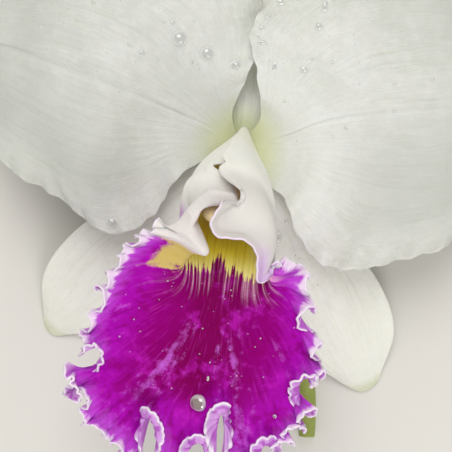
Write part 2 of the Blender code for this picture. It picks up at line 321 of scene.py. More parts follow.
build_stalk()


# ---------------------------------------------------------------- sepals
# Three sepals stand behind the petals: fleshy, smooth-edged blades of greenish cream, a millimetre
# thick, that part from the ovary's top and bend back until their small hooked tips touch the ground.


def normals_of(points):
    return unit(np.cross(np.gradient(points, axis=0), np.gradient(points, axis=1)))


def face_of(blade_points):
    """The normals on a blade's upper face."""
    facing = normals_of(blade_points)
    return facing * np.sign(facing[..., 2:].mean())


def swell(x, y, size, seed):
    """Soft seeded unevenness of about -1 to 1, with bumps about this many millimetres apart."""
    rng = np.random.default_rng(seed)
    total = np.zeros(np.broadcast(x, y).shape)
    for _ in range(18):
        heading = rng.uniform(0.0, 2.0 * np.pi)
        length = size * rng.uniform(0.75, 1.7)
        phase = rng.uniform(0.0, 2.0 * np.pi)
        total += np.cos(
            2.0 * np.pi * (x * np.cos(heading) + y * np.sin(heading)) / length + phase
        )
    return total / 6.0


def blade(midrib, upper, lower, rows, columns):
    """A blade bowed from one margin over its midrib to the other, with u along it and v across it."""
    u = np.linspace(0.0, 1.0, rows)
    spread = np.linspace(-1.0, 1.0, columns)
    v = 0.45 * spread + 0.55 * np.sin(spread * np.pi / 2.0)
    middle, one, other = (through(line, u)[:, None, :] for line in (midrib, upper, lower))
    v3 = v[None, :, None]
    points = middle + v3 * (one - other) / 2.0 + v3**2 * ((one + other) / 2.0 - middle)
    along = lengths_along(points)
    half_width = np.where(
        v > 0, np.linalg.norm(one - middle, axis=-1), np.linalg.norm(other - middle, axis=-1)
    )
    edge = np.minimum((1.0 - abs(v)) * half_width, along[-1:] - along)
    return u[:, None], np.broadcast_to(v, (rows, columns)), points, along, edge


def add_tissue(piece, thickness, rim_slot=0, back_slot=0):
    """Gives a sheet its thickness, and its rim and back their own materials."""
    solidify = piece.modifiers.new("tissue", "SOLIDIFY")
    solidify.thickness = thickness * MM
    solidify.offset = 0.0
    solidify.material_offset = back_slot
    solidify.material_offset_rim = rim_slot


def make_blade(name, points, v, along, edge, thickness, flesh):
    """Makes a blade's piece, with the measures that its flesh follows."""
    measures = {"along_mm": along, "across": v, "edge_mm": edge, "to_tip_mm": along[-1:] - along}
    faces = grid_faces(*along.shape)
    piece = make_piece(name + "_blade", points.reshape(-1, 3), faces, measures, [name])
    add_tissue(piece, thickness)
    piece.data.materials.append(flesh)


# Sepal and petal flesh: living tissue under a thin wax. It gives the eye a satin cream that turns
# green at the claw and the tip, with faint parallel veins and light glowing through it. Its cells
# are about 0.05 mm wide, and are drawn at 0.19 mm so that they show.
def make_flesh(name, light, dull, claw, claw_mm, tip, tip_mm, far, vein_count):
    material, tree, shader, along, across, edge, to_tip = start_material(
        name, "along_mm", "across", "edge_mm", "to_tip_mm"
    )
    patches = mottled(tree, 18.18, 3.0)
    # Veins run from the claw to the margin, and wander a little on their way.
    lane = weigh(tree, across, (mottled(tree, 11.11), 0.05))
    veins = streaked(tree, lane, 1.0 / vein_count, along, 33.33, 3.0)
    threads = streaked(tree, lane, 1.0 / (4.5 * vein_count), along, 9.091)
    crepe = mottled(tree, 1.0, 4.0)
    frost = mottled(tree, 3.846, 8.0, 0.78)
    cells = mottled(tree, 0.1923)
    colour = paint(
        tree,
        light,
        (dull, (patches, 0.35, 0.68, 0.8)),
        (dull, (veins, 0.48, 0.7, 0.35)),
        ("#BFC2AE", (veins, 0.57, 0.66, 0.18)),
        ("#C0C2B4", (threads, 0.52, 0.68, 0.18)),
        ("#F6F7F4", (threads, 0.48, 0.34, 0.2)),
        ("#F2F3F0", (frost, 0.46, 0.68, 0.3)),
        ("#BEC0B8", (frost, 0.5, 0.34, 0.2)),
        # Painted light: the blade is painted lighter near the heart, where the pieces around it shade
        # it.
        ("#EAECE4", (along, 32.0, 16.0, 0.4)),
        (claw, (along, claw_mm, 1.0, 0.75)),
        (tip, (to_tip, tip_mm, 0.0, 0.85)),
        # Painted shade: the blade is painted greyer towards its outer end, where it curves away from
        # the light.
        (far, (along, 24.0, 75.0, 0.6)),
        # Painted shade: the lower half of a blade is painted greyer, where it bends away from the
        # light, but for its margin.
        (far, (across, 0.15, -0.5), (along, 18.0, 40.0, 0.55), (edge, 4.0, 15.0)),
    )
    crinkle = where(tree, crepe, weigh(tree, 0.35, (where(tree, (edge, 9.0, 0.0)), 1.0)))
    normal = relief(tree, (veins, 0.18), (threads, 0.07), (crinkle, 0.18), (cells, 0.012))
    finish = {"roughness": 0.48, "clear": 0.7, "glow": 2.0, "glow_tint": (1.0, 0.95, 0.78)}
    finish_material(tree, shader, colour, normal, **finish)
    return material


SEPALS = {
    "dorsal_sepal": {
        "midrib": [(0, 4.0, -2.8), (0.2, 14, -2.6), (0.5, 32, -3.5), (0.8, 50, -7), (1.1, 65, -12.5),
                   (1.3, 77.5, -18.4)],
        "upper": [(-3.8, 4.0, -2.9), (-7, 14, -3.4), (-12.5, 32, -5.5), (-12.5, 50, -9.5),
                  (-8.5, 64, -14), (-2, 76.3, -18.2)],
        "lower": [(4.0, 3.4, -2.9), (7.4, 14, -3.4), (13.5, 32, -5.5), (14, 50, -9.5),
                  (10.5, 64, -14), (4.6, 76.3, -18.2)],
    },
    "lateral_sepal_left": {
        "midrib": [(-2.9, -3.7, -2.8), (-8.7, -11, -3.2), (-19.8, -25.1, -5), (-31, -39.2, -8.5),
                   (-39.8, -50.3, -13), (-47.2, -58.8, -18.4)],
        "upper": [(-4.9, -2.2, -2.9), (-13.4, -7.3, -4), (-30, -17, -6.5), (-43.7, -29.3, -9.5),
                  (-50.6, -42, -13.5), (-49.4, -55.8, -18.2)],
        "lower": [(-1.1, -5.2, -2.9), (-4, -14.7, -4), (-9.6, -33.1, -6.5), (-19.2, -48.5, -10),
                  (-32.3, -55.2, -14.5), (-43.6, -58.4, -18.2)],
    },
    "lateral_sepal_right": {
        "midrib": [(2.7, -3.9, -2.8), (8, -11.5, -3.2), (18.2, -26.3, -5), (28.5, -41.1, -8.5),
                   (36.6, -52.7, -13), (44.2, -62.4, -18.4)],
        "upper": [(4.7, -2.6, -2.9), (12.9, -8.1, -4), (29.3, -18.6, -6.5), (42.6, -31.4, -9.5),
                  (49.1, -44.3, -13.5), (47.2, -59, -18.2)],
        "lower": [(0.8, -5.2, -2.9), (3, -14.9, -4), (7.5, -33.7, -6.5), (16.2, -49.6, -10),
                  (28.6, -57.2, -14.5), (40.2, -62.2, -18.2)],
    },
}
SEPAL_THICKNESS = 1.0
sepal_flesh = make_flesh(
    "sepal_flesh",
    light="#F2F2EA",
    dull="#E9EADD",
    claw="#C9D09A",
    claw_mm=10.0,
    tip="#98A53A",
    tip_mm=4.5,
    # The far colour is a painted shade.
    far="#E2E3D8",
    vein_count=20.0,
)


def build_sepal(name, outline, seed):
    u, v, points, along, edge = blade(**outline, rows=130, columns=44)
    dents = 0.35 * swell(along, v * 16.0, 24.0, seed) * ease(along, 4.0, 20.0)
    ribs = 0.05 * np.cos(v * 26.0 + 0.2 * np.sin(along / 9.0)) * (1.0 - v**4)
    groove = -0.4 * bell(v, 0.05) * ease(u, 0.02, 0.2) * ease(-u, -1.0, -0.75)
    facing = face_of(points)
    # The dents and ribs die out where the blade comes down on the ground.
    clearance = points[..., 2] - GROUND - SEPAL_THICKNESS / 2.0
    shape = (dents + ribs + groove) * ease(clearance, 0.2, 2.5)
    points = points + facing * shape[..., None]
    make_blade(name, points, v, along, edge, SEPAL_THICKNESS, sepal_flesh)
    return points, facing


sepal_sheets = {}
for seed, (name, outline) in enumerate(SEPALS.items(), 11):
    sepal_sheets[name] = build_sepal(name, outline, seed)


# ---------------------------------------------------------------- petals
# Two broad petals stand in front of the sepals, each on a narrow claw. Their tissue is thinner and
# whiter, creased along the midrib, and their margins grew faster than the rest, so they ruffle.

PETALS = {
    "petal_left": {
        "midrib": [(-3.5, 1.2, -0.8), (-9, 3.7, 0.4), (-20.5, 7.2, 4.5), (-34, 10.4, 8.5),
                   (-50, 14.2, 9), (-66.5, 17.8, 5), (-82.5, 20.5, -2)],
        "upper": [(-2.8, 3.6, -0.8), (-4.4, 9.5, 1), (-1.6, 20, 4.5), (1.0, 34, 5), (-8, 48, 5),
                  (-38, 53.5, 5), (-62, 46, 2), (-78, 30, -2)],
        "lower": [(-4.2, -0.8, -0.8), (-10, -4.5, 0), (-16.5, -10.5, 3), (-21.5, -21.5, 5),
                  (-31.5, -27.5, 6), (-47, -20.5, 6), (-65, -10, 3), (-78.5, 8, -2)],
    },
    "petal_right": {
        "midrib": [(1.6, 0.8, -0.8), (8.5, 3.9, 0.4), (19, 9.2, 4.5), (32, 13.3, 8.5),
                   (49, 17.3, 9), (66.5, 20.5, 5), (82.5, 22.5, -2)],
        "upper": [(1.2, 4.2, -1.0), (3.2, 9.5, 2.4), (0.2, 20, 8), (-2.0, 32, 10.5), (9, 46, 10.5),
                  (36, 54.5, 7), (62, 48, 2), (78, 32, -2)],
        "lower": [(1.8, -3.4, -0.8), (6.8, -8.2, 0.2), (12.8, -12.4, 3), (17.5, -21.5, 5),
                  (27, -28.5, 6), (47, -23.5, 6), (66, -10, 3), (78.5, 10, -2)],
    },
}
PETAL_THICKNESS = 0.6
MARGINS_APART = 40.0
petal_flesh = make_flesh(
    "petal_flesh",
    light="#D9DAD6",
    dull="#CCCEC8",
    claw="#D2D89C",
    claw_mm=13.0,
    tip="#D6D7CE",
    tip_mm=8.0,
    # The far colour is a painted shade.
    far="#B4B7B2",
    vein_count=30.0,
)


def ruffle(length, spacing, seed):
    """The phase of a margin's waves along it: about this many millimetres a wave, never quite even."""
    rng = np.random.default_rng(seed)
    drift = sum(
        rng.uniform(0.5, 1.1) * np.sin(length / (spacing * k) + rng.uniform(0.0, 6.3))
        for k in (0.9, 1.7, 3.1)
    )
    return 2.0 * np.pi * length / spacing + drift


def build_petal(name, outline, seed):
    _, v, points, along, edge = blade(**outline, rows=220, columns=140)
    facing = face_of(points)
    x, y = points[..., 0], points[..., 1]
    # The two margins start their waves apart, so that they don't ruffle in step.
    steps = np.linalg.norm(np.gradient(points, axis=0), axis=-1)
    walked = np.cumsum(steps, axis=0)
    outer = np.where(v > 0, walked[:, -1:], walked[:, :1]) + np.sign(v) * MARGINS_APART
    body = ease(along, 3.0, 22.0)
    groove = 0.35 * bell(v, 0.09) - 0.7 * bell(v, 0.022)
    ribs = 0.05 * np.cos(v * 70.0 + 0.6 * np.sin(along / 8.0)) * bell(v, 0.7)
    billow = 1.0 * swell(x, y, 42.0, seed) + 0.35 * swell(x, y, 15.0, seed + 1)
    broad = 1.9 * np.sin(ruffle(outer, 27.0, seed + 2)) * np.exp(-edge / 11.0)
    frill = 0.7 * np.sin(ruffle(outer, 8.5, seed + 3)) * np.exp(-edge / 3.6)
    crimp = 0.16 * np.sin(ruffle(outer, 3.3, seed + 4)) * np.exp(-edge / 1.5)
    shape = body * (groove + ribs + billow + broad + frill + crimp)
    points = points + facing * shape[..., None]
    out = unit(np.gradient(points, axis=1)) * np.sign(v)[..., None]
    scallop = 0.26 * np.sin(ruffle(outer, 6.0, seed + 5)) * np.exp(-edge / 3.0) * body
    points = points + out * scallop[..., None]
    make_blade(name, points, v, along, edge, PETAL_THICKNESS, petal_flesh)
    return points, facing


petal_sheets = {}
for seed, (name, outline) in zip((31, 41), PETALS.items()):
    petal_sheets[name] = build_petal(name, outline, seed)


# ---------------------------------------------------------------- lip
# The lip is the third petal. Its side lobes roll round the column into a white tube, the right one
# lapping over the left, and its front lobe opens flat: gold in the throat, then velvety purple, with
# a thin white margin that grew so much faster than the rest that it is crimped all the way round.

TUBE_TILT = math.radians(35.0)
TUBE_AHEAD = np.array([0.0, -math.sin(TUBE_TILT), math.cos(TUBE_TILT)])
TUBE_DOWN = np.array([0.0, -math.cos(TUBE_TILT), -math.sin(TUBE_TILT)])
TUBE_SIDE = np.array([1.0, 0.0, 0.0])
TUBE_SWAY = -2.0
LIP_THICKNESS = 0.5
# Ribs of the lip from the seam round by the front lobe to the seam again. Each has its turn round
# the tube, 0 at the floor, and then its crest at the mouth, its middle and its free rim.
LIP_RIBS = [
    (-177, (0.6, -16.0, 36.2), (-0.6, -14.0, 37.6), (-3.2, -12.2, 37.0)),
    (-162, (-4.2, -16.4, 37.0), (-5.6, -14.4, 37.8), (-7.4, -12.4, 36.4)),
    (-146, (-7.8, -18.2, 37.0), (-9.2, -16.6, 37.2), (-10.6, -14.8, 35.2)),
    (-131, (-9.4, -21.2, 36.4), (-11.4, -20.0, 36.2), (-13.0, -18.8, 33.8)),
    (-118, (-8.8, -24.2, 35.8), (-12.6, -23.4, 35.4), (-16.2, -22.6, 32.6)),
    (-108, (-5.2, -28.2, 35.2), (-12.0, -26.2, 34.6), (-20.0, -24.0, 31.6)),
    (-100, (-8.6, -28.6, 32.6), (-14.8, -27.0, 32.2), (-23.5, -26.6, 30.8)),
    (-90, (-10.4, -31.0, 31.0), (-17.6, -31.0, 30.8), (-28.4, -34.2, 29.6)),
    (-76, (-11.2, -34.0, 30.4), (-20.0, -37.8, 30.6), (-31.4, -43.4, 28.6)),
    (-58, (-10.2, -37.4, 30.0), (-19.4, -46.0, 30.4), (-33.4, -55.2, 27.6)),
    (-36, (-7.8, -40.8, 29.8), (-16.5, -55.5, 30.0), (-33.0, -71.0, 26.0)),
    (-14, (-4.5, -42.5, 29.5), (-8.5, -61.0, 29.5), (-16.5, -82.0, 24.5)),
    (12, (0.5, -42.5, 29.5), (1.5, -62.0, 29.5), (4.5, -84.0, 24.0)),
    (38, (5.5, -40.5, 30.0), (11.5, -55.0, 30.0), (21.5, -73.5, 26.0)),
    (62, (8.8, -36.5, 30.8), (16.0, -45.0, 30.8), (26.0, -57.5, 28.0)),
    (82, (10.3, -33.0, 31.6), (16.0, -36.5, 31.6), (22.8, -42.0, 29.8)),
    (96, (10.0, -31.7, 33.0), (14.4, -31.5, 32.6), (18.8, -30.0, 30.8)),
    (106, (10.4, -26.5, 32.4), (11.8, -30.6, 33.2), (13.2, -26.6, 32.0)),
    (114, (10.4, -24.0, 32.4), (9.8, -30.2, 33.4), (10.4, -29.4, 32.4)),
    (122, (10.3, -22.8, 33.0), (9.4, -30.8, 33.8), (6.9, -33.2, 32.2)),
    (130, (10.3, -21.8, 33.8), (9.6, -28.4, 35.2), (6.0, -30.8, 34.2)),
    (140, (10.0, -21.4, 35.0), (8.8, -25.4, 36.8), (5.2, -26.4, 36.2)),
    (151, (8.6, -17.8, 36.5), (7.0, -22.0, 38.4), (2.2, -23.9, 37.8)),
    (163, (5.5, -14.0, 37.5), (3.0, -18.6, 39.8), (-3.9, -24.3, 38.6)),
    (174, (1.8, -12.2, 38.0), (-0.4, -17.0, 40.3), (-5.8, -21.8, 39.0)),
    (184, (-1.4, -10.4, 38.2), (1.4, -14.8, 40.0), (-3.9, -18.2, 39.4)),
    (196, (-4.4, -9.9, 36.6), (0.9, -12.9, 38.8), (1.2, -17.0, 38.6)),
]
# Where the margin folds right over itself: its turn, then in millimetres half its width, how far it
# runs in, how high it stands and how far it leans along the rim, how many degrees its edge curls,
# and how wide a hem curls.
LIP_FOLDS = [
    (-107, 1.3, 2.2, 1.2, 0.2, 20, 3.0),
    (-98, 1.5, 2.6, 1.4, -0.3, 20, 3.0),
    (-90, 2.2, 2.4, 1.6, -0.6, 30, 3.0),
    (-83, 2.0, 1.4, 1.4, 0.6, 30, 3.0),
    (-75, 2.6, 3.0, 2.2, -0.4, 40, 3.0),
    (-66, 1.8, 1.6, 1.2, 0.4, 20, 3.0),
    (-58, 1.8, 1.4, 1.2, 0.4, 20, 3.0),
    (-51, 2.4, 8.0, 3.0, 0.4, 40, 3.0),
    (-44.5, 2.8, -1.5, 5.0, -1.6, 90, 3.6),
    (-37, 2.6, 5.0, 3.0, -1.0, 30, 3.0),
    (-27, 2.2, 2.4, 2.0, 0.8, 20, 3.0),
    (-20, 2.0, 2.0, 1.6, -0.5, 20, 3.0),
    (-9.0, 2.3, 13.5, 5.0, -6.0, 150, 2.0),
    (3.4, 1.8, 11.0, 4.5, 1.0, 150, 2.0),
    (12.0, 1.0, 19.5, 5.5, 1.6, 150, 2.2),
    (19, 2.2, 4.5, 3.0, 0.4, 40, 3.0),
    (29, 2.0, 5.0, 3.5, 0.8, 120, 2.6),
    (36, 2.0, 3.0, 2.2, -0.4, 30, 3.0),
    (42, 2.0, 4.0, 2.6, -0.6, 40, 3.0),
    (50, 2.0, 2.2, 2.0, 0.4, 40, 3.0),
    (57, 2.6, 6.5, 4.0, -1.2, 70, 3.0),
    (64, 2.0, 1.8, 2.0, 0.6, 30, 3.0),
    (73, 2.0, 1.8, 1.6, 0.4, 20, 3.0),
    (82, 2.6, 4.2, 2.6, -0.8, 40, 3.0),
    (92, 2.0, 1.6, 1.4, 0.5, 20, 3.0),
]
# Away from its folds the margin's hem is this wide, and its tight bend takes this much of it.
USUAL_HEM = 3.0
CURL_BEND = 1.1
# The sheet's rows run from root to rim. The last ones keep every column, those before them every
# second one, and the rest every fourth.
LIP_ROWS = 70
LIP_COLUMNS = 1601
FINE_ROWS = 10
MIDDLE_ROWS = 12
LIP_STEPS = [4] * (LIP_ROWS - FINE_ROWS - MIDDLE_ROWS) + [2] * MIDDLE_ROWS + [1] * FINE_ROWS


def tube_ring(turn, t, lift, narrow=1.0, keel=0.0):
    """Points round the lip's tube, t millimetres from the heart. A keel makes its roof pointed."""
    radius = (12.2 - 9.0 * np.exp(-t / 12.0) + lift)[:, None]
    centre = TUBE_SWAY * (1.0 - math.exp(-t / 3.0)) * TUBE_SIDE + t * TUBE_AHEAD
    roof = np.clip(-np.cos(turn), 0.0, 1.0)[:, None]
    wide = narrow * (1.0 - keel * roof) * np.sin(turn)[:, None]
    tall = (1.0 - 0.4 * keel * roof) * np.cos(turn)[:, None]
    return centre + radius * (wide * TUBE_SIDE + tall * TUBE_DOWN)


def lip_ribs(a):
    ribs = np.array([[turn, *crest, *middle, *rim] for turn, crest, middle, rim in LIP_RIBS])
    return through(ribs, a)


def smooth_lip(a):
    """The lip before it ruffled: its points from root to rim at places a round it, with their
    distances to the rim."""
    rib = lip_ribs(a)
    turn = np.radians(rib[:, 0])
    lift = 1.3 * ease(rib[:, 0], 120.0, 170.0) + 0.6 * ease(rib[:, 0], 187.0, 196.0)
    underside = ((1.0 + np.cos(turn)) / 2.0)[:, None]
    root = tube_ring(turn, 1.0, 0.3 * lift, 0.62, 0.4) + (1.0 - underside) * np.array([0.0, 3.0, 0.6])
    mouth = tube_ring(turn, 30.0, lift) + 4.0 * underside * TUBE_AHEAD
    mouth = mouth + underside * np.array([0.0, 0.0, 3.5])
    low = tube_ring(turn, 10.0, lift, 1.0, 0.45)
    high = tube_ring(turn, 20.0, lift, 1.0, 0.3) + underside * np.array([0.0, 0.0, 1.5])
    rings = [root, low, high, mouth, rib[:, 1:4], rib[:, 4:7], rib[:, 7:10]]
    fine = through(np.stack(rings), np.linspace(0, 1, 260))
    walked = lengths_along(fine)
    share = 1.0 - (1.0 - np.linspace(0.0, 1.0, LIP_ROWS)) ** 1.6
    wanted = share[:, None] * walked[-1]
    points = np.empty((LIP_ROWS, len(a), 3))
    for column in range(len(a)):
        for axis in range(3):
            points[:, column, axis] = np.interp(
                wanted[:, column], walked[:, column], fine[:, column, axis]
            )
    # The two side lobes part a little just above the mouth, and leave a small hole in the seam.
    parted = bell(wanted - 30.5, 2.5)
    over = ease(rib[:, 0], 158.0, 196.0)
    under = ease(-rib[:, 0], 138.0, 177.0)
    wavy = 0.35 * np.sin(wanted / 2.1) * bell(wanted - 26.0, 9.0)
    points[..., 0] += parted * (1.2 * over - 4.4 * under) + wavy * over
    return rib[:, 0][None, :], points, wanted, walked[-1:] - wanted


def facing_up(points, turn):
    facing = normals_of(points)
    front = np.argmin(abs(turn[0]))
    return facing * np.sign(facing[LIP_ROWS // 2, front, 2])


def ruffled_lip(a, length, grown):
    """The lip as it grew, with waves, folds and curls that fade inwards from its rim. Length is
    measured along the smooth rim, and grown along the folded one, where the crinkles run."""
    turn, rest, walked, from_rim = smooth_lip(a)
    facing = facing_up(rest, turn)
    out = unit(np.gradient(rest, axis=0))
    out = unit(out - (out * facing).sum(-1, keepdims=True) * facing)
    aside = np.cross(facing, out)
    front = ease(turn, -118.0, -100.0) * ease(-turn, -112.0, -98.0)
    inward = np.zeros_like(from_rim)
    upward = np.zeros_like(from_rim)
    sideways = np.zeros_like(from_rim)
    curl = np.zeros_like(length)
    calm = np.ones_like(length)
    turns = lip_ribs(a)[:, 0]
    hem = np.full_like(length, USUAL_HEM)
    for at, half, deep, high, lean, curled, wide in LIP_FOLDS:
        middle = np.interp(at, turns, length)
        reach = 1.6 * abs(deep) + 5.0
        x = (length[None, :] - middle) / (half + 0.4 * np.minimum(from_rim, reach))
        fade = np.clip(1.0 - from_rim / reach, 0.0, 1.0) ** 1.4
        blunt = 2.0 - 0.9 * ease(deep, 6.0, 10.0)
        bump = np.clip(np.cos(np.pi * np.clip(x, -1.0, 1.0) / 2.0), 0.0, 1.0) ** blunt
        swing = np.where(abs(x) < 1.0, np.sin(np.pi * x), 0.0)
        inward += deep * bump * fade
        upward += high * bump * fade
        sideways += ((0.9 - 0.2 * blunt) * half * swing + lean * bump) * fade
        at_rim = np.where(abs(x[-1]) < 1.0, np.cos(np.pi * x[-1] / 2.0) ** 2, 0.0)
        curl = np.maximum(curl, np.radians(curled) * ease(at_rim, 0.0, 0.7))
        hem += (wide - USUAL_HEM) * ease(at_rim, 0.0, 0.4)
        calm *= 1.0 - 0.85 * at_rim
    strength = 0.8 + 0.35 * np.sin(length / 11.0 + 1.0) + 0.25 * np.sin(length / 4.7)
    wave = ruffle(length, 8.4, 71)
    near = np.clip(1.0 - from_rim / 13.0, 0.0, 1.0) ** 1.7
    tall = 2.3 * np.maximum(front, 0.25 * ease(-turn, 98.0, 118.0)) * near * strength * calm
    swell_up = upward + 0.8 * tall * np.sin(wave)
    swell_in = inward + 0.8 * tall * np.sin(wave + 0.5)
    swell_by = sideways - 0.32 * tall * np.sin(2.0 * wave)
    points = rest + facing * swell_up[..., None] - out * swell_in[..., None]
    points = points + aside * swell_by[..., None]
    # The edge curls up and back over the lobe: a tight bend, and then a straight hem.
    new_facing = facing_up(points, turn)
    rimward = np.cross(new_facing, unit(np.gradient(points, axis=1)))
    rimward = rimward * np.sign((rimward * out).sum(-1).mean())
    base = np.argmax(from_rim <= hem, axis=0)
    columns = np.arange(len(a))
    lead = rimward[base, columns][None]
    up = new_facing[base, columns][None]
    q = np.clip(hem - from_rim, 0.0, None)
    angle = (curl - math.radians(50.0) * (1.0 - front[0]) + 1e-4)[None, :]
    bend = np.minimum(q, CURL_BEND)
    flat = q - bend
    ahead = np.sin(angle * bend / CURL_BEND) / angle * CURL_BEND + flat * np.cos(angle)
    rise = (1.0 - np.cos(angle * bend / CURL_BEND)) / angle * CURL_BEND + flat * np.sin(angle)
    points = points + lead * (ahead - q)[..., None] + up * rise[..., None]
    # Last come the crinkles, which stand square to the sheet wherever it has folded to, and the
    # small round scallops that they draw along the edge. They are weaker on the side lobes, at the
    # front lobe's two sides, and where a hem curls right over.
    liveliness = 0.4 + 0.6 * front
    liveliness = liveliness * (1.0 - 0.6 * ease(-turn, 52.0, 72.0) - 0.4 * ease(turn, 58.0, 78.0))
    minor = ruffle(grown, 3.6, 72)
    crinkle = ruffle(grown, 1.9, 73)
    calm_hem = 1.0 - 0.45 * ease(curl, 1.8, 2.6)
    small = 0.42 * liveliness * calm_hem * np.exp(-from_rim / 1.8)
    tiny = 0.13 * liveliness * np.exp(-from_rim / 0.9)
    normal = facing_up(points, turn)
    outward = unit(np.gradient(points, axis=0))
    lifted = small * np.sin(minor) + tiny * np.sin(crinkle)
    pushed = 1.2 * small * (abs(np.sin(minor / 2.0 + 0.7)) - 0.6)
    pushed = pushed + 1.8 * tiny * (abs(np.sin(crinkle / 2.0)) - 0.6)
    points = points + normal * lifted[..., None] + outward * pushed[..., None]
    return turn, rest, walked, from_rim, points


def graded_faces(steps, columns):
    """Faces of a grid whose rows keep every column, every second one or every fourth, with the places
    of the points that they keep."""
    kept = np.full((len(steps), columns), -1)
    count = 0
    for row, step in enumerate(steps):
        places = np.arange(0, columns, step)
        kept[row, places] = count + np.arange(len(places))
        count += len(places)
    faces = []
    for row in range(len(steps) - 1):
        step, inner, outer = steps[row], kept[row], kept[row + 1]
        c = np.arange(0, columns - 1, step)
        corners = [outer[c], outer[c + step], inner[c + step], inner[c]]
        if steps[row + 1] < step:
            corners.insert(1, outer[c + step // 2])
        faces += np.stack(corners, 1).tolist()
    return faces, kept.ravel() >= 0


def build_lip():
    even = np.linspace(0.0, 1.0, 2600)
    rim = lip_ribs(even)[:, 7:10]
    length = lengths_along(rim)
    folded = ruffled_lip(even, length, 0.0 * length)[-1][-1]
    grown = lengths_along(folded)
    a = np.interp(np.linspace(0.0, grown[-1], LIP_COLUMNS), grown, even)
    here = np.interp(a, even, length)
    grown_here = np.interp(a, even, grown)
    turn, rest, walked, from_rim, points = ruffled_lip(a, here, grown_here)
    side_lobe = ease(-turn, 98.0, 107.0) + ease(turn, 106.0, 114.0)
    # The gold ends across the lobe at the throat, at a line on its right, and in an arch on its left.
    x, y = rest[..., 0], rest[..., 1]
    arch = 6.2 - np.hypot(0.95 * np.minimum(x + 12.0, 0.0), np.maximum(y + 33.0, 0.0))
    gold = np.minimum(np.minimum(y + 33.0, 8.5 - x), arch + 40.0 * ease(turn, -88.0, -80.0))
    gold = np.minimum(gold, (turn + 103.5) * 0.6)
    gold = gold + (6.0 - gold) * side_lobe
    # The white margin is thin on the front lobe, wider at its two sides, and all of a side lobe.
    white_width = 1.5 + 14.0 * ease(-turn, 101.0, 107.0) + 14.0 * ease(turn, 107.0, 114.0)
    white_width = white_width + 1.8 * ease(-turn, 55.0, 78.0) + 1.3 * ease(turn, 60.0, 80.0)
    faces, kept = graded_faces(LIP_STEPS, LIP_COLUMNS)
    measures = {
        "turn": turn,
        "from_rim_mm": from_rim,
        "gold_mm": gold,
        "white_mm": white_width - from_rim,
        "walked_mm": walked,
        "side_lobe": side_lobe,
    }
    for label, values in measures.items():
        measures[label] = np.broadcast_to(values, from_rim.shape).ravel()[kept]
    piece = make_piece("lip_sheet", points.reshape(-1, 3)[kept], faces, measures, ["lip"])
    add_tissue(piece, LIP_THICKNESS, rim_slot=2, back_slot=1)
    # Rain lies only on the sheet's calm middle.
    flat_rows = slice(10, LIP_ROWS - 16)
    return piece, (points[flat_rows], facing_up(points, turn)[flat_rows])


